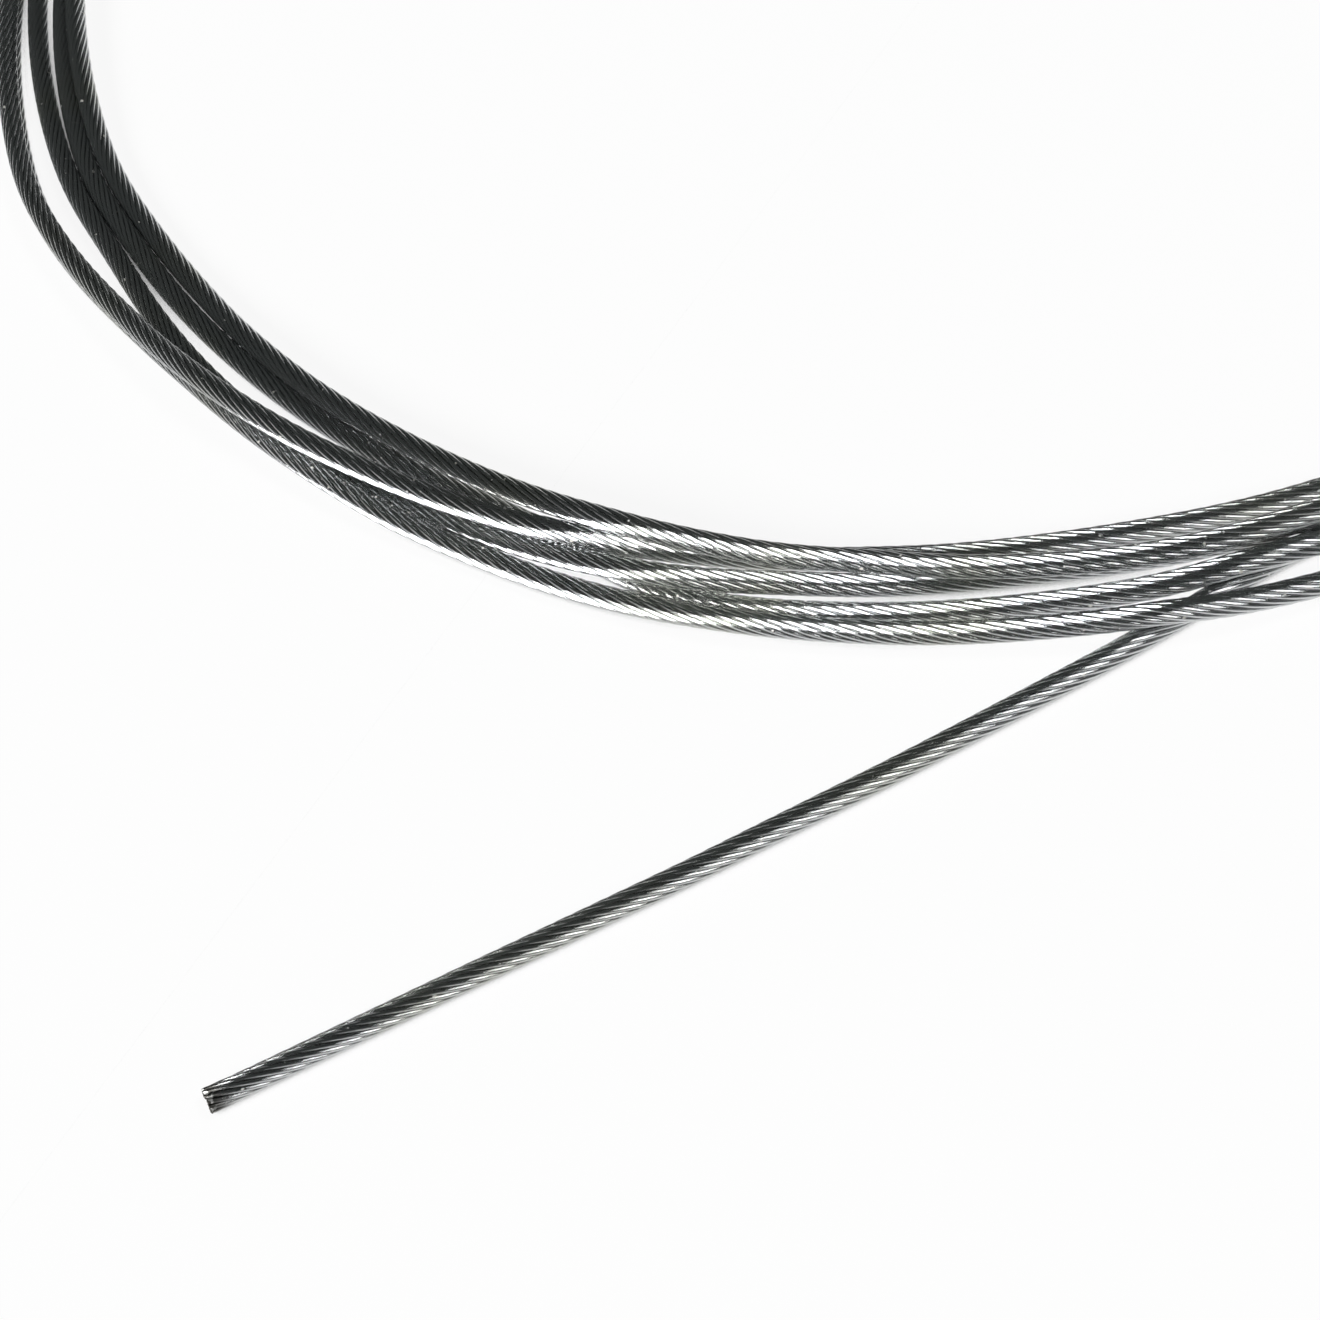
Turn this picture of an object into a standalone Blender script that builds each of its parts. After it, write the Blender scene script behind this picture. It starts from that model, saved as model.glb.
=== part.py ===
"""Shift cable: a bare stranded steel inner wire, coiled as it comes, with a cast head.

The wire lies on a flat surface. Most of it is a loose round coil. The cut end runs out from
under the coil in a shallow curve, and the other end leaves the top of the coil inwards and
carries the turned barrel head. Metres, +Z up; the surface is z = 0.
"""
import math

import bmesh
import bpy
import numpy as np
from mathutils import Vector

MM = 0.001

# Wire
CABLE_D = 1.2 * MM
CABLE_SIDES_RES = 2
ROUTE_STEP = 2.5 * CABLE_D

# Coil: the outer shape of five full turns that lie beside and on each other
COIL_CENTRE_Y = 5.1 * MM
COIL_INNER_R = 53.4 * MM
COIL_BAND = 6.8 * MM
COIL_HEIGHT = 3.3 * MM
COIL_EDGE_R = 0.9 * MM
COIL_STEPS = 96

# Cast head: a short barrel in line with the wire
HEAD_D = 4.4 * MM
HEAD_LENGTH = 4.4 * MM
HEAD_CHAMFER = 0.3 * MM
HEAD_SHOULDER_D = 3.4 * MM
HEAD_SHOULDER_DROP = 0.15 * MM
HEAD_STEPS = 32

# Space that touching solids keep
GAP = 0.3 * MM

# The cut end's route, from its tip to under the coil, in plan: millimetres across from the
# coil's centre, and back from the coil's foremost edge
FREE_END_ROUTE = [
    (-57.2, -9.5), (-55.1, -9.1), (-51.6, -8.4), (-48.1, -7.7), (-44.6, -7.0), (-41.0, -6.3),
    (-37.5, -5.6), (-33.9, -4.9), (-30.3, -4.1), (-26.7, -3.3), (-23.1, -2.5), (-19.4, -1.6),
    (-15.8, -0.7), (-11.9, 0.3), (-7.9, 1.5), (-2.6, 3.2),
]

# The head end's route, from the top of the coil to the head: bearing in degrees about the
# coil's centre, millimetres out from the coil's inner wall, and height of the wire's middle
HEAD_END_ROUTE = [
    (45.0, 1.9, 2.75), (48.0, 1.3, 2.72), (51.0, 0.6, 2.66), (54.0, -0.2, 2.58),
    (57.0, -1.0, 2.50), (60.0, -1.8, 2.42), (63.0, -2.6, 2.35), (66.0, -3.3, 2.29),
    (69.0, -3.9, 2.24), (72.0, -4.4, 2.21), (75.0, -4.8, 2.20),
]
HEAD_END_DROP_TO = 2.20


def clear_scene():
    for item in list(bpy.data.objects):
        bpy.data.objects.remove(item, do_unlink=True)


def metal(name, colour, roughness, metallic=1.0):
    material = bpy.data.materials.new(name)
    material.use_nodes = True
    shader = material.node_tree.nodes["Principled BSDF"]
    shader.inputs["Base Color"].default_value = (*colour, 1.0)
    shader.inputs["Roughness"].default_value = roughness
    shader.inputs["Metallic"].default_value = metallic
    return material


def add_object(name, data, material):
    item = bpy.data.objects.new(name, data)
    item.data.materials.append(material)
    bpy.context.scene.collection.objects.link(item)
    return item


def spin_profile(name, profile, steps, closed):
    """Spins a profile of (radius, height) pairs about Z into a closed mesh."""
    mesh = bpy.data.meshes.new(name)
    bm = bmesh.new()
    verts = [bm.verts.new((radius, 0.0, height)) for radius, height in profile]
    edges = [bm.edges.new(pair) for pair in zip(verts, verts[1:])]
    if closed:
        edges.append(bm.edges.new((verts[-1], verts[0])))
    bmesh.ops.spin(
        bm, geom=verts + edges, cent=(0.0, 0.0, 0.0), axis=(0.0, 0.0, 1.0),
        angle=2.0 * math.pi, steps=steps, use_merge=True,
    )
    bmesh.ops.remove_doubles(bm, verts=bm.verts, dist=0.001 * MM)
    bmesh.ops.recalc_face_normals(bm, faces=bm.faces)
    bm.to_mesh(mesh)
    bm.free()
    mesh.shade_smooth()
    mesh.set_sharp_from_angle(angle=math.radians(35.0))
    return mesh


def corner_arc(centre_r, centre_z, radius, start_deg, steps=3):
    """Points of a quarter circle in the profile plane, anticlockwise from start_deg."""
    angles = [math.radians(start_deg + 90.0 * i / steps) for i in range(steps + 1)]
    return [(centre_r + radius * math.cos(a), centre_z + radius * math.sin(a)) for a in angles]


def smooth_points(points, spacing):
    """Points about `spacing` apart on a Catmull-Rom curve through the route's own points."""
    route = [Vector(p) for p in points]
    before = route[0] * 2.0 - route[1]
    after = route[-1] * 2.0 - route[-2]
    route = [before, *route, after]
    curve = []
    for p0, p1, p2, p3 in zip(route, route[1:], route[2:], route[3:]):
        count = max(2, round((p2 - p1).length / spacing))
        for i in range(count):
            t = i / count
            curve.append(0.5 * (
                2.0 * p1 + (p2 - p0) * t + (2.0 * p0 - 5.0 * p1 + 4.0 * p2 - p3) * t ** 2
                + (3.0 * p1 - p0 - 3.0 * p2 + p3) * t ** 3
            ))
    return curve + [route[-2]]


def cut_to_length(points, start, end, spacing):
    """Evenly spaced points from distance `start` to distance `end` along a fine route."""
    places = np.array([tuple(p) for p in points])
    along = np.concatenate([[0.0], np.cumsum(np.linalg.norm(np.diff(places, axis=0), axis=1))])
    end = along[-1] if end is None else end
    count = max(3, round((end - start) / spacing) + 1)
    marks = np.linspace(start, end, count)
    return [tuple(np.interp(m, along, places[:, axis]) for axis in range(3)) for m in marks]


def distance_at_radius(points, radius):
    """Distance along a fine route at which it crosses `radius` about the coil's centre."""
    places = np.array([tuple(p) for p in points])
    along = np.concatenate([[0.0], np.cumsum(np.linalg.norm(np.diff(places, axis=0), axis=1))])
    reach = np.hypot(places[:, 0], places[:, 1] - COIL_CENTRE_Y) - radius
    crossing = int(np.nonzero(np.sign(reach) != np.sign(reach[0]))[0][0])
    share = reach[crossing - 1] / (reach[crossing - 1] - reach[crossing])
    return along[crossing - 1] + share * (along[crossing] - along[crossing - 1])


def wire_tube(name, points, material):
    curve = bpy.data.curves.new(name, "CURVE")
    curve.dimensions = "3D"
    curve.bevel_depth = CABLE_D / 2.0
    curve.bevel_resolution = CABLE_SIDES_RES
    curve.use_fill_caps = True
    spline = curve.splines.new("POLY")
    spline.points.add(len(points) - 1)
    for point, place in zip(spline.points, points):
        point.co = (*place, 1.0)
    return add_object(name, curve, material)


def build_coil(material):
    inner, outer = COIL_INNER_R, COIL_INNER_R + COIL_BAND
    low, high = 0.0, COIL_HEIGHT
    r = COIL_EDGE_R
    profile = (
        corner_arc(inner + r, low + r, r, 180.0)
        + corner_arc(outer - r, low + r, r, 270.0)
        + corner_arc(outer - r, high - r, r, 0.0)
        + corner_arc(inner + r, high - r, r, 90.0)
    )
    coil = add_object("coil", spin_profile("coil", profile, COIL_STEPS, closed=True), material)
    coil.location = (0.0, COIL_CENTRE_Y, 0.0)
    return coil


def build_free_end(material):
    height = CABLE_D / 2.0
    coil_front = COIL_CENTRE_Y - COIL_INNER_R - COIL_BAND
    route = [(across * MM, coil_front + back * MM, height) for across, back in FREE_END_ROUTE]
    fine = smooth_points(route, CABLE_D / 8.0)
    coil_wall = COIL_INNER_R + COIL_BAND + CABLE_D / 2.0 + GAP
    stop = distance_at_radius(fine, coil_wall)
    return wire_tube("free_end", cut_to_length(fine, 0.0, stop, ROUTE_STEP), material)


def head_route():
    """Fine route of the head end in world places, from inside the coil to the head's face."""
    route = []
    for bearing, out, height in HEAD_END_ROUTE:
        angle = math.radians(bearing)
        radius = COIL_INNER_R + out * MM
        route.append((
            radius * math.cos(angle),
            COIL_CENTRE_Y + radius * math.sin(angle),
            (height - HEAD_END_DROP_TO) * MM + HEAD_D / 2.0,
        ))
    return smooth_points(route, CABLE_D / 8.0)


def build_head_end(material):
    fine = head_route()
    start = distance_at_radius(fine, COIL_INNER_R - CABLE_D / 2.0 - GAP)
    return wire_tube("head_end", cut_to_length(fine, start, None, ROUTE_STEP), material)


def build_head(material):
    """The barrel, turned about its own axis, its shoulder one gap beyond the wire's end."""
    fine = head_route()
    heading = Vector(fine[-1]) - Vector(fine[-4])
    heading.z = 0.0
    heading.normalize()
    body, bevel = HEAD_D / 2.0, HEAD_CHAMFER
    profile = [
        (0.0, 0.0),
        (HEAD_SHOULDER_D / 2.0, 0.0),
        (body - bevel, HEAD_SHOULDER_DROP),
        (body, HEAD_SHOULDER_DROP + bevel),
        (body, HEAD_LENGTH - bevel),
        (body - bevel, HEAD_LENGTH),
        (0.0, HEAD_LENGTH),
    ]
    head = add_object("head", spin_profile("head", profile, HEAD_STEPS, closed=False), material)
    head.location = Vector(fine[-1]) + heading * GAP
    head.rotation_euler = heading.to_track_quat("Z", "X").to_euler()
    return head


def build():
    clear_scene()
    wire = metal("drawn_steel", (0.42, 0.42, 0.43), 0.28)
    cast = metal("cast_zinc", (0.56, 0.56, 0.57), 0.42)
    build_coil(wire)
    build_free_end(wire)
    build_head_end(wire)
    build_head(cast)


build()
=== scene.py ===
"""A shift cable's inner wire as it comes out of its bag: nineteen drawn steel wires laid up
into one strand, coiled loosely on a pale surface, with a cast head on one end and a plain
cut on the other. Lengths are in metres; values named with _MM are in millimetres.
"""
import math

import bpy
import numpy as np
from mathutils import Matrix, Vector


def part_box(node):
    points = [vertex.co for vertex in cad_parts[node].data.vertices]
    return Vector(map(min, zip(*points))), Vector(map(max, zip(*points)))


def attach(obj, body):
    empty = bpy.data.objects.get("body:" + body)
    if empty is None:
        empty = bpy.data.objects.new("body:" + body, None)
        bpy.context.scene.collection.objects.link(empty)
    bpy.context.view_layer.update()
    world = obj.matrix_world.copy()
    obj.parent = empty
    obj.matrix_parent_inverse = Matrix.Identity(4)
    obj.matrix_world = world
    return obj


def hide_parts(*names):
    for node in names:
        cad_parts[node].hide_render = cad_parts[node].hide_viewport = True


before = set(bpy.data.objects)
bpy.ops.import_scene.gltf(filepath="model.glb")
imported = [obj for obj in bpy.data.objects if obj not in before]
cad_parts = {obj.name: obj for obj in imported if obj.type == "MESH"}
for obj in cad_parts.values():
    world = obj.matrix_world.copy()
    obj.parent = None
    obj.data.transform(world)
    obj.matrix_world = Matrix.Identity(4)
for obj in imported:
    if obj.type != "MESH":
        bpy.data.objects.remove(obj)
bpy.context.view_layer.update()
MM = 0.001

# The camera looks down on the front left of the coil and on the cut end, and is turned a
# little about the way it looks, as the photograph was taken.
VIEW_CENTRE = Vector((-32.3, -47.4, 0.0)) * MM
VIEW_DISTANCE = 153.6 * MM
VIEW_ELEVATION = 53.0
VIEW_ROLL = -15.97
LENS_WIDTHS = 2.424  # focal length in widths of the picture
SENSOR_MM = 36.0

lens = bpy.data.cameras.new("view")
lens.sensor_width = SENSOR_MM
lens.lens = SENSOR_MM * LENS_WIDTHS
lens.clip_start = 0.01
lens.clip_end = 20.0
camera = bpy.data.objects.new("view", lens)
bpy.context.scene.collection.objects.link(camera)
bpy.context.scene.camera = camera
tilt = Matrix.Rotation(math.radians(90.0 - VIEW_ELEVATION), 4, "X")
roll = Matrix.Rotation(math.radians(VIEW_ROLL), 4, "Z")
back = (tilt @ Vector((0.0, 0.0, 1.0, 0.0))).to_3d()
camera.matrix_world = Matrix.Translation(VIEW_CENTRE + back * VIEW_DISTANCE) @ tilt @ roll

# The cable's route: the cut end comes in from the lower left and passes under the coil, five
# turns of springy wire lie beside and on each other, and the last one leaves the coil inwards
# and ends in the head. The lists are the places chosen for it; all between them is rounded.
CABLE_D = 1.2 * MM
RING_STEP = 0.45 * MM
COIL_INNER_R_MM = 53.4
TURN_SAMPLES = 720
LAID_AHEAD = 40  # samples of the next turn that are laid down with each turn
SETTLING_PASSES = 90
NESTED = 0.975  # strands bed into each other's grooves, down to this share of their thickness
STIFFNESS = 8  # samples that the heights are evened out over, each way, at each pass
SAG = 0.01 * MM  # at each pass
TOUCHING_MARGIN = 1e-9  # metres; a turn that only touches isn't lifted again
LAST_SMOOTHING = 3  # samples that the heights are evened out over once they have settled
BEND_ROUNDING = 8  # samples that the bends between the chosen places are rounded over
JOINT_ROUNDING = 4  # rings that the whole line is rounded over, for the joint with the coil
JOINT_GAP = 1.0  # degrees from the cut end's last place to the coil's first
LAST_MARGIN = 0.01  # degrees past the last place, so that it is counted in

# From the tip to under the coil: across from the coil's centre and back from its front edge
FREE_END_ROUTE_MM = [
    (-57.2, -9.5), (-55.1, -9.1), (-51.6, -8.4), (-48.1, -7.7), (-44.6, -7.0), (-41.0, -6.3),
    (-37.5, -5.6), (-33.9, -4.9), (-30.3, -4.1), (-26.7, -3.3), (-23.1, -2.5), (-19.4, -1.6),
    (-15.8, -0.7), (-11.9, 0.3), (-7.9, 1.5), (-2.6, 3.2),
]

# Where the turns pass: bearings in degrees about the coil's centre, and for each turn how far
# out from the coil's inner wall it lies there, at the back and then at the front. A turn
# starts where the cut end goes under, and the first places are the cut end's own, so that the
# turns that cross it come to lie on it.
START_MM = [(256, 9.2), (259, 7.6), (262, 5.95), (268, 3.6), (275, 1.9)]
BACK_BEARINGS = [284, 312, 356, 404, 452, 500, 532]
FRONT_BEARINGS = [
    550, 556, 562, 568, 574, 580, 583, 586, 589, 592, 595, 598, 601, 604, 607, 610, 616, 622,
]
TURNS_MM = [
    [1.1, 1.4, 1.4, 1.4, 1.4, 1.6, 2.2, 2.9, 2.5, 2.5, 2.45, 2.45, 2.4, 2.45, 2.55, 2.6,
     3.25, 4.3, 4.9, 5.0, 4.9, 4.75, 4.65, 4.5, 4.65],
    [3.4, 3.0, 2.7, 2.7, 2.8, 3.3, 3.8, 4.05, 3.7, 4.05, 4.35, 4.5, 4.35, 4.3, 4.3, 4.4,
     4.5, 4.65, 4.65, 4.0, 3.5, 3.3, 2.95, 2.5, 2.6],
    [3.0, 3.9, 4.5, 4.6, 4.7, 5.0, 5.2, 6.35, 5.9, 5.3, 5.2, 5.35, 5.4, 5.55, 5.45, 5.55,
     5.7, 5.85, 5.95, 6.1, 6.0, 5.97, 6.03, 6.17, 6.6],
    [5.2, 4.2, 3.7, 3.6, 3.9, 4.5, 5.0, 6.4, 6.05, 5.55, 5.35, 4.95, 4.35, 4.1, 4.0, 3.7,
     3.8, 3.25, 2.75, 2.3, 1.9, 1.45, 1.3, 0.9, 0.7],
    [1.0, 1.5, 2.0, 2.1, 2.1, 1.6, 1.3, 1.7, 1.32, 1.2, 1.4, 1.55, 1.6, 1.75, 1.95, 2.2,
     2.5, 2.85, 2.75, 2.7, 2.75, 2.45, 2.8, 3.0, 3.3],
]
LAST_MM = [(284, 3.1), (312, 3.0), (356, 2.8), (380, 2.6)]

# From the top of the coil to the head: bearing, distance out, height of the wire's middle
HEAD_END_ROUTE_MM = [
    (45, 1.9, 2.75), (48, 1.3, 2.72), (51, 0.6, 2.66), (54, -0.2, 2.58), (57, -1.0, 2.50),
    (60, -1.8, 2.42), (63, -2.6, 2.35), (66, -3.3, 2.29), (69, -3.9, 2.24), (72, -4.4, 2.21),
    (75, -4.8, 2.20),
]

HEAD_FROM_CABLE = 0.3 * MM  # from the last of these places to the head
HELD_IN_HEAD = 1.2 * MM


def rounded(values, half_width):
    """Each value becomes the average of its neighbours, weighted by a raised cosine that
    reaches half_width samples each way. Past the ends the line goes on, turned about them."""
    weights = np.hanning(2 * half_width + 3)[1:-1]
    weights /= weights.sum()
    before = 2 * values[0] - values[half_width:0:-1]
    after = 2 * values[-1] - values[-2:-half_width - 2:-1]
    padded = np.concatenate([before, values, after])
    if padded.ndim == 1:
        return np.convolve(padded, weights, "valid")
    return np.stack([np.convolve(column, weights, "valid") for column in padded.T], axis=1)


def evenly(points, step):
    """The same line with its points `step` apart: places read off at equal distances."""
    gaps = np.linalg.norm(np.diff(points, axis=0), axis=1)
    along = np.concatenate([[0.0], np.cumsum(gaps)])
    marks = np.linspace(0.0, along[-1], round(along[-1] / step) + 1)
    return np.stack([np.interp(marks, along, column) for column in points.T], axis=1)


def settled(radius, turn):
    """Heights of the wire's middle along the coil, laid down turn by turn. At each pass the
    wire sags a little and is evened out, being stiff. Where it then meets an earlier turn it
    rests on it: above that turn's middle by the square root of touching distance squared
    less sideways distance squared."""
    floor = CABLE_D / 2
    touching = CABLE_D * NESTED
    height = np.full(len(radius), floor)
    for first in range(0, len(radius), turn):
        here = np.arange(first, min(first + turn + LAID_AHEAD, len(radius)))
        below = []
        for lower in [here - k * turn for k in range(1, here[-1] // turn + 1)]:
            there = np.maximum(lower, 0)
            apart = np.minimum(np.abs(radius[here] - radius[there]), touching)
            lift = np.sqrt(touching ** 2 - apart ** 2)
            below.append((there, np.where(lower < 0, 0.0, lift)))
        for _ in range(SETTLING_PASSES):
            lying = np.maximum(rounded(height, STIFFNESS)[here] - SAG, floor)
            for there, lift in below * 2:
                meets = np.abs(height[there] - lying) < lift - TOUCHING_MARGIN
                lying = np.where(meets, height[there] + lift, lying)
            height[here] = lying
    return np.maximum(rounded(height, LAST_SMOOTHING), floor)


def cable_route():
    """The middle of the whole cable from the cut tip to the head, as points in metres. Along
    the coil a point is at the coil's middle + radius (cos bearing, sin bearing), at its
    settled height."""
    low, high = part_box("coil")
    centre_y = (low.y + high.y) / 2
    free = np.array([(x, low.y / MM + y, CABLE_D / MM / 2) for x, y in FREE_END_ROUTE_MM])
    knots = list(START_MM)
    for turn, outs in enumerate(TURNS_MM):
        bearings = [bearing + 360 * turn for bearing in BACK_BEARINGS + FRONT_BEARINGS]
        knots += zip(bearings, outs)
    last_from = 360 * len(TURNS_MM)
    head_from = last_from + 360
    knots += [(bearing + last_from, out) for bearing, out in LAST_MM]
    knots += [(bearing + head_from, out) for bearing, out, _ in HEAD_END_ROUTE_MM]
    bearings, outs = np.array(knots, float).T
    under = math.degrees(math.atan2(free[-1, 1] - centre_y / MM, free[-1, 0])) % 360
    at = np.arange(bearings[0], bearings[-1] + LAST_MARGIN, 360 / TURN_SAMPLES)
    out = rounded(np.interp(at, bearings, outs), BEND_ROUNDING)
    radius = (COIL_INNER_R_MM + out) * MM
    height = settled(radius, TURN_SAMPLES)
    lift_at, lifts = np.array([(b + head_from, z * MM) for b, _, z in HEAD_END_ROUTE_MM]).T
    leaving = at > last_from + LAST_MM[-1][0]
    height[leaving] = np.interp(
        at[leaving],
        np.concatenate([[at[leaving][0]], lift_at]),
        np.concatenate([[height[leaving][0]], lifts]),
    )
    angle = np.radians(at)
    coil = np.stack(
        [radius * np.cos(angle), centre_y + radius * np.sin(angle), height], axis=1
    )
    line = np.concatenate([free * MM, coil[at > under + JOINT_GAP]])
    line = rounded(evenly(line, RING_STEP), JOINT_ROUNDING)
    last = (line[-1] - line[-2]) / np.linalg.norm(line[-1] - line[-2])
    held = line[-1] + last * (HEAD_FROM_CABLE + HELD_IN_HEAD)
    return evenly(np.concatenate([line, [held]]), RING_STEP)


route = cable_route()


# The strand's heart fills the space inside the outer wires. Only its ends can be seen, so
# along the cable it is one closed tube. It stops short of the cut, where the inner wires' own
# ends stand.
HEART_R = 0.45 * MM
HEART_SIDES = 8
HEART_BACK = 1.0 * MM
HEART_STEP = 2 * RING_STEP
SHARP_ANGLE = math.radians(60.0)  # faces that meet at more than this keep a hard edge


def along_frames(points):
    """Directions along a line: forwards, the level direction to the right of that, and the
    direction square to both, which is up on a level line."""
    forward = np.gradient(points, axis=0)
    forward /= np.linalg.norm(forward, axis=1, keepdims=True)
    right = np.cross(forward, (0.0, 0.0, 1.0))
    right /= np.linalg.norm(right, axis=1, keepdims=True)
    return forward, right, np.cross(right, forward)


def tube(name, rings, places=None):
    """A closed tube through rings of points: four-sided faces join each ring to the next,
    and one face closes each end. rings has the shape (rings, points round, 3), and the
    points run anticlockwise as seen from the front. places, of the same shape, goes on the
    points as the attribute wire_place, and the way from ring to ring as wire_along."""
    count, sides, _ = rings.shape
    corner = np.arange(count * sides, dtype=np.int32).reshape(count, sides)
    beside = np.roll(corner, -1, axis=1)
    walls = np.stack([corner[:-1], beside[:-1], beside[1:], corner[1:]], axis=2)
    loops = np.concatenate([walls.ravel(), corner[0, ::-1], corner[-1]])
    wall_count = (count - 1) * sides
    starts = np.append(np.arange(wall_count + 1) * 4, wall_count * 4 + sides)
    mesh = bpy.data.meshes.new(name)
    mesh.vertices.add(count * sides)
    mesh.loops.add(len(loops))
    mesh.polygons.add(len(starts))
    mesh.vertices.foreach_set("co", rings.astype(np.float32).ravel())
    mesh.loops.foreach_set("vertex_index", loops.astype(np.int32))
    mesh.polygons.foreach_set("loop_start", starts.astype(np.int32))
    if places is not None:
        onwards = np.gradient(rings / MM, axis=0)
        for key, values in (("wire_place", places), ("wire_along", onwards)):
            stored = mesh.attributes.new(key, "FLOAT_VECTOR", "POINT")
            stored.data.foreach_set("vector", values.astype(np.float32).ravel())
    mesh.update(calc_edges=True)
    mesh.validate()
    mesh.shade_smooth()
    mesh.set_sharp_from_angle(angle=SHARP_ANGLE)
    piece = bpy.data.objects.new(name, mesh)
    bpy.context.scene.collection.objects.link(piece)
    return piece


def round_rings(centres, across, upward, radius, angles):
    """Rings of points about the centres: centre + radius (upward cos a + across sin a)."""
    turned = np.cos(angles)[:, None] * upward[:, None] + np.sin(angles)[:, None] * across[:, None]
    return centres[:, None] + radius * turned


heart_line = evenly(route, HEART_STEP)
heart_line = heart_line[math.ceil(HEART_BACK / HEART_STEP):]
_, right, up = along_frames(heart_line)
heart_angles = -2 * np.pi * np.arange(HEART_SIDES) / HEART_SIDES
heart = tube("strand_heart", round_rings(heart_line, right, up, HEART_R, heart_angles))

# The wires: bright drawn steel, laid side by side as a right-hand rope with one turn every
# eleven millimetres. Twelve outer ones run the whole way and are all that shows along the
# cable. At the cut the six inner ones and the king wire show too, squeezed by the cutter.
WIRE_D = 0.24 * MM
LAY_LENGTH = 11.2 * MM
# name, how many, distance from the strand's middle, length that is modelled
LAYERS = [("king_wire", 1, 0.0, 4 * MM), ("inner_wire", 6, 0.24 * MM, 4 * MM),
          ("outer_wire", 12, 0.48 * MM, None)]
WIRE_ANGLES = np.radians([0, 36, 72, 115, 180, 245, 288, 324])  # closest on the side that shows
END_MARKS = np.array([0.0, 0.02, 0.06, 0.15, 0.3]) * MM  # closer rings where a wire was cut
RAGGED = 0.04 * MM  # the most that one wire's end stands back
BURR_R = 0.02 * MM  # how far a wire's end is rounded over
BURR_SHARE = 0.4  # how much thinner a wire is at its very end
PLACE_STEP = 20 * MM  # of cable, for each unit of the pattern along a wire
PLACE_APART = 3.7  # units of the pattern from one wire to the next
SQUEEZE = 0.10  # how much flatter the strand is at the cut
SQUEEZE_LENGTH = 1.1 * MM
DIE_LINES = 60.0  # fine scratches along each wire, in each radian round it
DIE_LINE_LEAN = 2.4  # how far their walls lean, for each unit of the noise that lays them out
rng = np.random.default_rng(7)


class Reading:
    """A number that varies over a surface, read from a shader socket. Sums, differences and
    products of readings and numbers add the Math nodes that work them out."""

    def __init__(self, finish, socket):
        self.finish = finish
        self.socket = socket

    def _math(self, operation, first, second):
        """The Math node that works out one operation on two readings or numbers."""
        return self.finish.node("ShaderNodeMath", {"operation": operation}, {0: first, 1: second})

    def __add__(self, other):
        return self._math("ADD", self, other)

    def __sub__(self, other):
        return self._math("SUBTRACT", self, other)

    def __mul__(self, other):
        return self._math("MULTIPLY", self, other)

    __radd__ = __add__
    __rmul__ = __mul__


class Finish:
    """One material: its shader's own values, and the methods that add its other nodes."""

    def __init__(self, name, **values):
        self.material = bpy.data.materials.new(name)
        self.material.use_nodes = True
        self.tree = self.material.node_tree
        self.shader = self.tree.nodes["Principled BSDF"]
        self.set(self.shader, {key.replace("_", " "): value for key, value in values.items()})

    def set(self, node, inputs):
        """Fills a node's inputs: a reading is linked, a number or a colour is set."""
        for key, value in inputs.items():
            if isinstance(value, Reading):
                self.tree.links.new(value.socket, node.inputs[key])
            else:
                node.inputs[key].default_value = value

    def node(self, kind, settings=None, inputs=None, output=0):
        """Adds a node with its settings and inputs and reads one of its outputs."""
        made = self.tree.nodes.new(kind)
        for key, value in (settings or {}).items():
            setattr(made, key, value)
        self.set(made, inputs or {})
        return Reading(self, made.outputs[output])

    def between(self, value, low, high, out_low=0.0, out_high=1.0):
        """The value's way from low to high, eased, as a number from out_low to out_high."""
        return self.node(
            "ShaderNodeMapRange", {"interpolation_type": "SMOOTHSTEP"},
            {0: value, 1: low, 2: high, 3: out_low, 4: out_high},
        )

    def vector(self, operation, first, second=(0.0, 0.0, 0.0)):
        """One operation on two vectors, such as their sum, or on the first alone."""
        return self.node("ShaderNodeVectorMath", {"operation": operation}, {0: first, 1: second})

    def mixed(self, share, first, second):
        """A colour between two, by the share of the second."""
        return self.node(
            "ShaderNodeMix", {"data_type": "RGBA"}, {0: share, 6: first, 7: second}, output=2
        )

    def noise(self, place, scale, detail=2.0, roughness=0.5):
        """Soft random patches: smooth noise at place times scale, from 0 to 1."""
        return self.node(
            "ShaderNodeTexNoise", {},
            {"Vector": place, "Scale": scale, "Detail": detail, "Roughness": roughness},
        )


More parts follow.
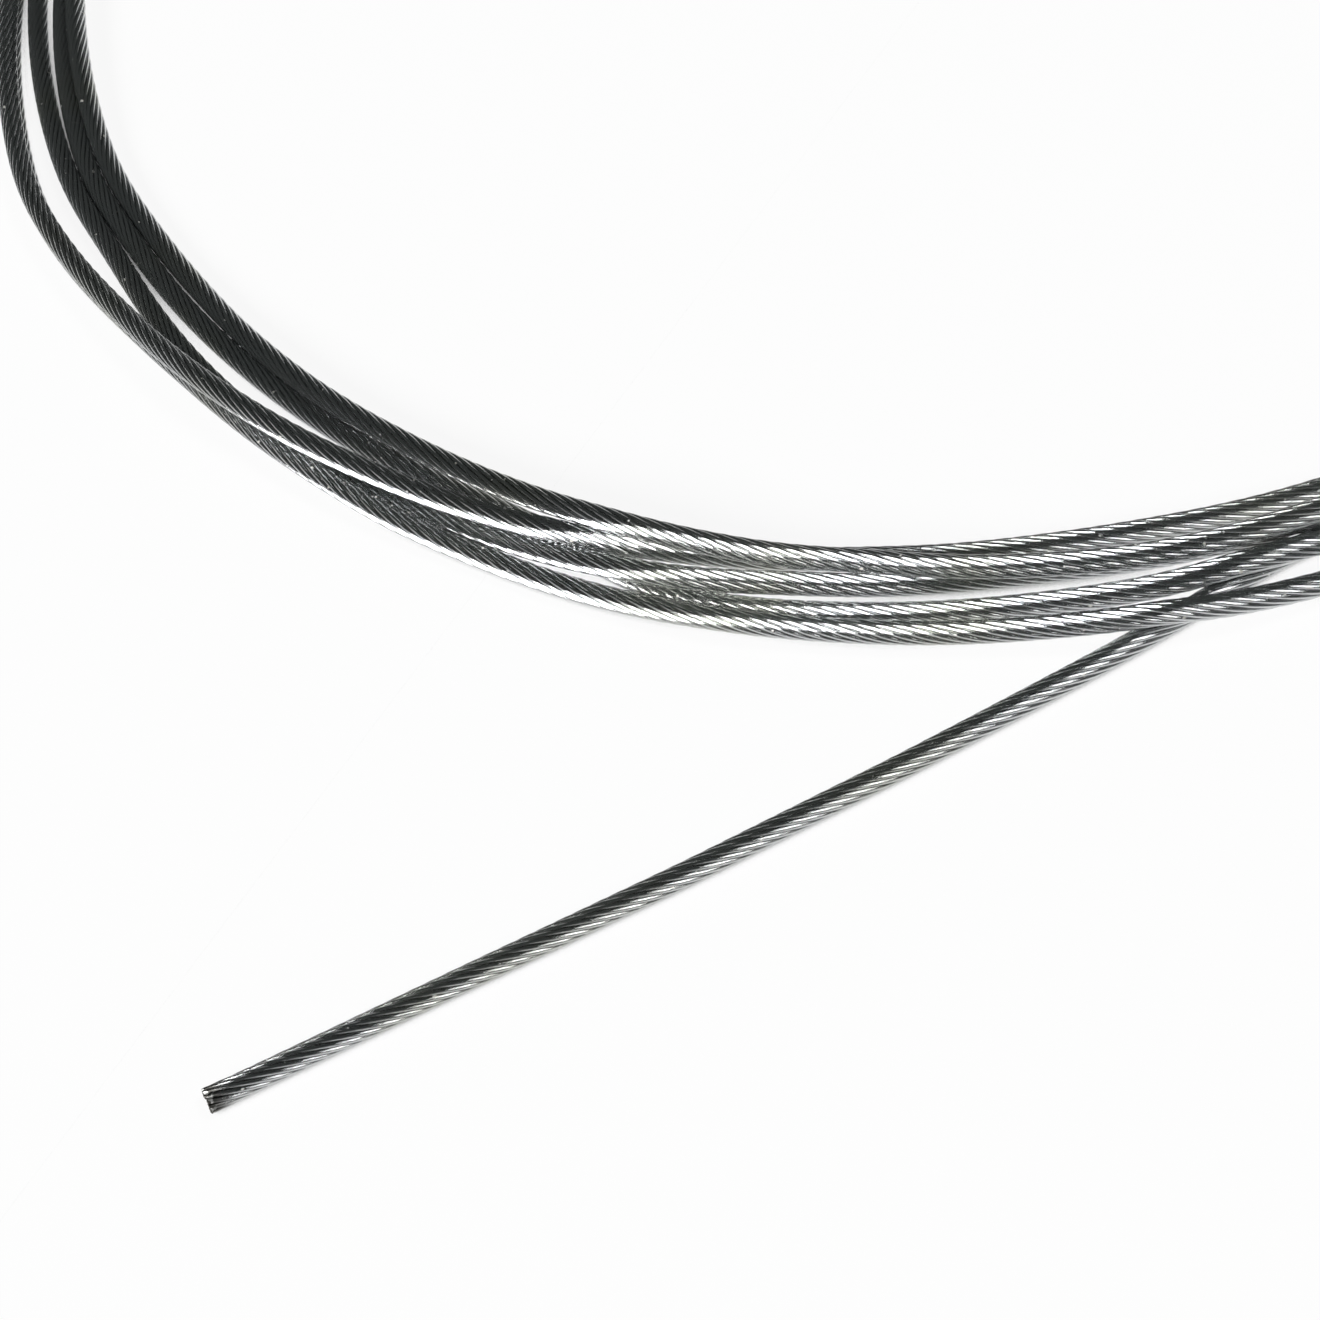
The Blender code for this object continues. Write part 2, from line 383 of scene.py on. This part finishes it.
def drawn_steel():
    """Bright metal with marks along each wire from its die, each wire a little lighter or
    darker than the next, a thin film of oil that lies in patches, specks of dust, and dark
    scale from the cutter at the cut end."""
    finish = Finish("drawn_steel", Metallic=1.0)
    place = finish.node("ShaderNodeAttribute", {"attribute_name": "wire_place"}, output=1)
    marks = finish.noise(place, 2.0, detail=4.0, roughness=0.65)
    die_lines = finish.noise(finish.vector("MULTIPLY", place, (4.0, DIE_LINES, 1.0)), 1.0)
    along = finish.node("ShaderNodeAttribute", {"attribute_name": "wire_along"}, output=1)
    facing = finish.node("ShaderNodeNewGeometry", output=1)
    across = finish.vector("NORMALIZE", finish.vector("CROSS_PRODUCT", along, facing))
    lean = finish.node("ShaderNodeVectorMath", {"operation": "SCALE"}, {
        0: across, "Scale": DIE_LINE_LEAN * (die_lines - 0.5),
    })
    scratched = finish.vector("NORMALIZE", finish.vector("ADD", facing, lean))
    spot = finish.node("ShaderNodeTexCoord", output=3)
    film = finish.between(finish.noise(spot, 140.0), 0.40, 0.70)
    dust = finish.between(finish.noise(spot, 2600.0, detail=1.0), 0.74, 0.80)
    away = finish.node(
        "ShaderNodeVectorMath", {"operation": "DISTANCE"},
        {0: spot, 1: Vector(route[0])}, output=1,
    )
    scorched = finish.between(away, 0.55 * MM, 1.6 * MM, 1.0, 0.0)
    torn = finish.between(away, 0.60 * MM, 0.75 * MM, 1.0, 0.0)
    torn = torn * finish.between(finish.noise(spot, 4200.0, detail=1.0), 0.50, 0.58)
    bright = finish.mixed(marks, (0.52, 0.53, 0.54, 1.0), (0.70, 0.71, 0.71, 1.0))
    oiled = finish.mixed(film * 0.6, bright, (0.54, 0.55, 0.49, 1.0))
    dusty = finish.mixed(dust, oiled, (0.75, 0.74, 0.70, 1.0))
    burnt = finish.mixed(scorched * 0.92, dusty, (0.035, 0.030, 0.022, 1.0))
    finish.set(finish.shader, {
        "Base Color": finish.mixed(torn, burnt, (0.80, 0.80, 0.78, 1.0)),
        "Roughness": 0.07 + 0.08 * marks + 0.04 * film + 0.5 * dust + 0.25 * scorched,
        "Normal": scratched,
    })
    return finish.material


def wire_rings(start, length, phase, radius):
    """Rings of one wire: its middle goes round the cable's middle at the given radius, one
    turn for each lay length. Near the cut the circle it goes round is lower and wider, and
    its first rings are smaller where the end is rounded over."""
    distance = np.concatenate([start + END_MARKS, np.arange(RING_STEP, length, RING_STEP)])
    distance = np.maximum(distance, start + np.minimum(distance, END_MARKS[-1]))
    along = np.arange(len(route)) * RING_STEP
    middle = np.stack([np.interp(distance, along, column) for column in route.T], axis=1)
    _, right, up = along_frames(middle)
    squeezed = SQUEEZE * np.exp(-(distance / SQUEEZE_LENGTH) ** 2)[:, None]
    turn = (2 * np.pi * distance / LAY_LENGTH + phase)[:, None]
    outward = np.cos(turn) * up + np.sin(turn) * right
    middle = middle + radius * (
        np.cos(turn) * up * (1 - squeezed) + np.sin(turn) * right * (1 + squeezed)
    )
    wire_forward, _, _ = along_frames(middle)
    beside = np.cross(outward, wire_forward)
    beside /= np.linalg.norm(beside, axis=1, keepdims=True)
    outward = np.cross(wire_forward, beside)
    rounding = 1 - BURR_SHARE * np.exp(-(distance - start) / BURR_R)
    size = WIRE_D / 2 * rounding[:, None, None]
    return distance, round_rings(middle, beside, outward, size, -WIRE_ANGLES)


steel = drawn_steel()
cable_end = (len(route) - 1) * RING_STEP
wires = []
for layer, count, radius, modelled in LAYERS:
    for index in range(count):
        phase = 2 * np.pi * index / count
        start = RAGGED * rng.random()
        distance, rings = wire_rings(start, modelled or cable_end, phase, radius)
        places = np.stack(np.broadcast_arrays(
            distance[:, None] / PLACE_STEP, WIRE_ANGLES, len(wires) * PLACE_APART,
        ), axis=2)
        wires.append(tube(f"{layer}_{index + 1:02d}", rings, places))

for piece in [heart, *wires]:
    piece.data.materials.append(steel)
    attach(piece, "root")
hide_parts("coil", "free_end", "head_end")

# The head: a barrel of zinc alloy, cast round the end of the strand, which was splayed and
# upset first so that it can't pull through. The die leaves a seam along both sides, a spot
# where the runner was broken off, and a thin collar of metal where the strand comes out.
HEAD_D = 4.4 * MM
HEAD_LENGTH = 4.4 * MM
NECK_D = 3.4 * MM
NECK_DROP = 0.15 * MM
EDGE_R = 0.3 * MM
MIDDLE_R = 0.02 * MM  # the small flat that closes each face in its middle
COLLAR_R = 0.72 * MM
COLLAR_H = 0.12 * MM
COLLAR_W = 0.14 * MM
SEAM_H = 0.05 * MM
SEAM_W = 0.10 * MM
RUNNER_R = 0.6 * MM
RUNNER_H = 0.12 * MM
RUNNER_RING_W = 0.10 * MM
RUNNER_RING_SHARE = 0.4  # of the runner's height
BREAK_SHARE = 0.35  # of the runner's height that is left standing
BREAK_RELIEF = 0.2  # how far the break goes up and down about that
BREAK_ROUND = 0.11 * MM  # how coarse that is round the barrel
BREAK_ALONG = 0.14 * MM  # and along it
DISH_R = 1.0 * MM
DISH_DEPTH = 0.2 * MM
SPLAY = 1.15  # the wires' ends stand this much further apart in the dish
WIRE_END_R = 0.09 * MM
WIRE_END_H = 0.05 * MM
FACE_MARGIN = 1e-6  # metres; points as near as this to the far face belong to it
HEAD_SIDES = 128
EDGE_RINGS = 12
NEAR_RINGS = 40
SIDE_RINGS = 60
FAR_RINGS = 50


def turned_profile():
    """The barrel's outline as places along its axis and distances from it, close together:
    near face with its neck, a rounded edge, the side, a rounded edge and the far face."""
    edge = np.radians(np.linspace(0, 90, EDGE_RINGS))
    edge_drop = EDGE_R * (1 - np.sin(edge))
    edge_out = HEAD_D / 2 - EDGE_R * (1 - np.cos(edge))
    near = np.linspace(MIDDLE_R, NECK_D / 2, NEAR_RINGS)
    side = np.linspace(NECK_DROP + EDGE_R, HEAD_LENGTH - EDGE_R, SIDE_RINGS)[1:-1]
    far = np.linspace(HEAD_D / 2 - EDGE_R, MIDDLE_R, FAR_RINGS)[1:]
    along = np.concatenate([
        np.zeros(len(near)), NECK_DROP + edge_drop[::-1], side,
        HEAD_LENGTH - edge_drop, np.full(len(far), HEAD_LENGTH),
    ])
    out = np.concatenate([
        near, edge_out[::-1], np.full(len(side), HEAD_D / 2), edge_out, far,
    ])
    return along, out


def bump(distance, width):
    """1 in the middle of a rounded ridge or spot, falling as exp(-(distance / width)^2)."""
    return np.exp(-(distance / width) ** 2)


def barrel(base, axis, right, up):
    """Rings of the cast head: base + lengthwise times axis + outwards (up cos a + right sin a).
    The turned profile gets a seam on both sides, a low broken spot on top, a collar round
    the strand, and in the far face a dish with the wires' ends."""
    along, out = (column[:, None] for column in turned_profile())
    angles = -2 * np.pi * np.arange(HEAD_SIDES) / HEAD_SIDES
    from_top = HEAD_D / 2 * (np.mod(angles + np.pi, 2 * np.pi) - np.pi)
    mid = (along > EDGE_R) & (along < HEAD_LENGTH - EDGE_R / 2)
    seam = SEAM_H * bump(out * np.cos(angles), SEAM_W) * (out > HEAD_D / 2 - EDGE_R)
    from_runner = np.hypot(along - HEAD_LENGTH / 2, from_top)
    rough = np.sin(from_top / BREAK_ROUND) * np.cos(along / BREAK_ALONG)
    broken = BREAK_SHARE + BREAK_RELIEF * rough
    stub = RUNNER_H * broken * bump(from_runner / RUNNER_R, 1.0) ** 4 * mid
    ring = RUNNER_RING_SHARE * RUNNER_H * bump(from_runner - RUNNER_R, RUNNER_RING_W) * mid
    outwards = out + seam + stub + ring
    across_face = out * np.stack([np.cos(angles), np.sin(angles)])[:, None]
    ends = np.zeros_like(outwards)
    for _, count, radius, _ in LAYERS:
        for angle in 2 * np.pi * np.arange(count) / count:
            place = SPLAY * radius * np.array([math.cos(angle), math.sin(angle)])
            away = np.linalg.norm(across_face - place[:, None, None], axis=0)
            ends += bump(away, WIRE_END_R)
    near = along < NECK_DROP / 2
    far = along > HEAD_LENGTH - FACE_MARGIN
    collar = COLLAR_H * bump(out - COLLAR_R, COLLAR_W) * near
    dish = DISH_DEPTH * bump(out / DISH_R, 1.0) ** 2 * far
    lengthwise = along - collar - dish + WIRE_END_H * ends * far
    turned = np.cos(angles)[:, None] * up + np.sin(angles)[:, None] * right
    return base + lengthwise[..., None] * axis + outwards[..., None] * turned


def cast_zinc():
    """Dull grey alloy with the die's fine grain, broad flow marks, and small pitted spots that
    are dented in and coloured near black as painted shade.
    """
    finish = Finish("cast_zinc", Metallic=1.0)
    spot = finish.node("ShaderNodeTexCoord", output=3)
    grain = finish.noise(spot, 3500.0, detail=3.0)
    flow = finish.noise(spot, 500.0, detail=2.0)
    pits_and_painted_shade = finish.between(finish.noise(spot, 2200.0, detail=1.0), 0.66, 0.74)
    metal = finish.mixed(flow, (0.44, 0.44, 0.45, 1.0), (0.60, 0.60, 0.61, 1.0))
    relief = 0.5 * grain + flow - 1.5 * pits_and_painted_shade
    bumped = finish.node("ShaderNodeBump", {}, {
        "Strength": 0.5, "Distance": 0.03 * MM, "Height": relief,
    })
    finish.set(finish.shader, {
        # The pits' near-black colour is painted shade in their hollows; the bump dents them in as
        # well.
        "Base Color": finish.mixed(pits_and_painted_shade, metal, (0.16, 0.16, 0.15, 1.0)),
        "Roughness": 0.30 + 0.20 * grain,
        "Normal": bumped,
    })
    return finish.material


ahead, right, up = along_frames(route[-2:] * (1, 1, 0) + (0, 0, HEAD_D / 2))
near_face = route[-1] - HELD_IN_HEAD * ahead[-1]
head = tube("barrel_head", barrel(near_face, ahead[-1], right[-1], up[-1]))
head.data.materials.append(cast_zinc())
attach(head, "root")
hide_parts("head")

# The surface it lies on is one matt white sheet, laid level under the cable and far larger
# than it. It is plain but for the cable's faint shadow, part cast by the lamps, part painted
# shade.
FLOOR_HALF = 3.0
FLOOR_GLOW = 0.9
SHADE_REACH = 0.8 * MM


def floor_white():
    """White to the eye and in the metal, part of it its own glow and part of it the lamps' light.
    The glow is darkened in narrow gaps and close by the cable, as painted shade for its shadow."""
    finish = Finish("floor_white", Base_Color=(0.95, 0.95, 0.95, 1.0), Roughness=0.9)
    opened = finish.node(
        "ShaderNodeAmbientOcclusion", {"samples": 6}, {"Distance": SHADE_REACH}, output=1,
    )
    # Painted shade: the glow's colour goes towards black where the occlusion test finds the cable
    # or a narrow gap close by.
    shaded_glow_colour = finish.mixed(
        finish.between(opened, 0.10, 0.35), (0.0, 0.0, 0.0, 1.0), (1.0, 1.0, 1.0, 1.0),
    )
    glow = finish.node("ShaderNodeEmission", {}, {"Color": shaded_glow_colour})
    seen = finish.node("ShaderNodeLightPath", output=0)
    mirrored = finish.node("ShaderNodeLightPath", output=3)
    share = finish.node("ShaderNodeMath", {"operation": "MAXIMUM"}, {0: seen, 1: mirrored})
    mix = finish.node("ShaderNodeMixShader", {}, {
        0: FLOOR_GLOW * share, 1: Reading(finish, finish.shader.outputs[0]), 2: glow,
    })
    finish.set(finish.tree.nodes["Material Output"], {"Surface": mix})
    return finish.material


mesh = bpy.data.meshes.new("floor")
corners = [(-1, -1, 0), (1, -1, 0), (1, 1, 0), (-1, 1, 0)]
mesh.from_pydata([Vector(c) * FLOOR_HALF for c in corners], [], [(0, 1, 2, 3)])
mesh.materials.append(floor_white())
floor = bpy.data.objects.new("floor", mesh)
bpy.context.scene.collection.objects.link(floor)

# Soft light from two large lamps, a broad one low at the left and a smaller one high at the
# right. The length of each lies square to the way that the wires run where they catch it.
WIRES_BEARING = 321.0
WIRES_DROP = 8.0
# name, direction it comes from (bearing, elevation), distance, width, length, watts
LAMPS = [
    ("key", 220.5, 36.0, 1.5, 0.55, 0.64, 23.5),
    ("right", 358.0, 62.0, 1.5, 0.48, 0.40, 6.0),
]


def direction(bearing, elevation):
    """The way (cos bearing, sin bearing) on the level, raised by the elevation: that way times
    cos elevation, and sin elevation upwards."""
    across, rise = math.radians(bearing), math.radians(elevation)
    return Vector((
        math.cos(rise) * math.cos(across), math.cos(rise) * math.sin(across), math.sin(rise),
    ))


for name, bearing, elevation, distance, width, length, watts in LAMPS:
    lamp = bpy.data.lights.new(name, "AREA")
    lamp.shape = "RECTANGLE"
    lamp.size = width
    lamp.size_y = length
    lamp.energy = watts
    holder = bpy.data.objects.new(name, lamp)
    bpy.context.scene.collection.objects.link(holder)
    towards = direction(bearing, elevation)
    lengthwise = direction(WIRES_BEARING, -WIRES_DROP).cross(towards).normalized()
    widthwise = lengthwise.cross(towards)
    holder.matrix_world = Matrix.Translation(VIEW_CENTRE + towards * distance) @ Matrix(
        (widthwise, lengthwise, towards)
    ).transposed().to_4x4()

# The room round it gives a faint light, the same from every side and very slightly green,
# which fills in what the lamps leave dark.
ROOM_COLOUR = (0.92, 1.0, 0.97, 1.0)
ROOM_STRENGTH = 0.05

world = bpy.data.worlds.new("room")
world.use_nodes = True
room = world.node_tree.nodes["Background"]
room.inputs["Color"].default_value = ROOM_COLOUR
room.inputs["Strength"].default_value = ROOM_STRENGTH
bpy.context.scene.world = world
bpy.context.scene.view_settings.view_transform = "Standard"
